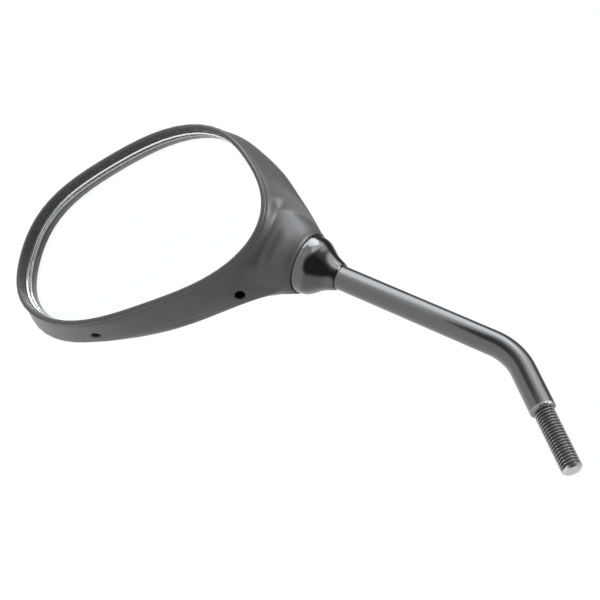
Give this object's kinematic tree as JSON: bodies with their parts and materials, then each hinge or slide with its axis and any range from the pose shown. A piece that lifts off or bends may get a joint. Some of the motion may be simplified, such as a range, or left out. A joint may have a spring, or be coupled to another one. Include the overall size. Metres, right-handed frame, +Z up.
{
  "type": "motorcycle mirror",
  "caption": "Teardrop rear view mirror on a bent round stem, with a ball joint in the neck, a glossy bell cover and a threaded stud at the foot.",
  "frame": {"origin": "centre of the flat seat at the foot of the stem, where the thread begins", "axes": "+Z up the stem's lower leg, away from the thread; +X the way the stem leans; the mirror's face looks towards +Y, a little to +X and down"},
  "size_m": [0.1932, 0.0733, 0.2221],
  "materials": {
    "zinc_steel": "bright zinc plate",
    "bare_steel": "turned",
    "black_paint": "satin paint",
    "gloss_black": "high gloss",
    "nylon": "natural",
    "spring_steel": "bright rolled",
    "nylon_dark": "moulded",
    "brass": "turned",
    "matte_black": "fine texture",
    "clear_glass": "polished",
    "silvering": "reflective",
    "foam": "open cell",
    "seal_pale": "glossy bead"
  },
  "bodies": {
    "stem": {"threaded_stud": "zinc_steel", "stem_collar": "bare_steel", "stem_rod": "black_paint", "bell_cover": "gloss_black", "ball": "bare_steel"},
    "liner": {"ball_liner": "nylon"},
    "race": {"friction_shell": "spring_steel"},
    "head": {"socket_cup": "nylon_dark", "pressure_cup": "nylon_dark", "disc_springs": "spring_steel", "adjusting_nut": "brass", "neck_bulkhead": "nylon_dark", "socket_nut": "brass", "front_shell": "matte_black", "rear_shell": "matte_black", "mirror_glass": "clear_glass", "mirror_coating": "silvering", "foam_pad": "foam", "carrier_plate": "nylon_dark", "edge_seal": "seal_pale"}
  },
  "joints": [
    {"name": "head_swivel", "type": "hinge", "parent": "stem", "child": "liner", "pos_m": [0.06087, 0, 0.10044], "axis": [0.6428, 0, 0.766], "continuous": true},
    {"name": "head_nod", "type": "hinge", "parent": "liner", "child": "race", "pos_m": [0.06087, 0, 0.10044], "axis": [0.6971, -0.4147, -0.5849], "range_deg": [-12, 12]},
    {"name": "head_turn", "type": "hinge", "parent": "race", "child": "head", "pos_m": [0.06087, 0, 0.10044], "axis": [0.3177, 0.91, -0.2666], "range_deg": [-12, 12]}
  ]
}
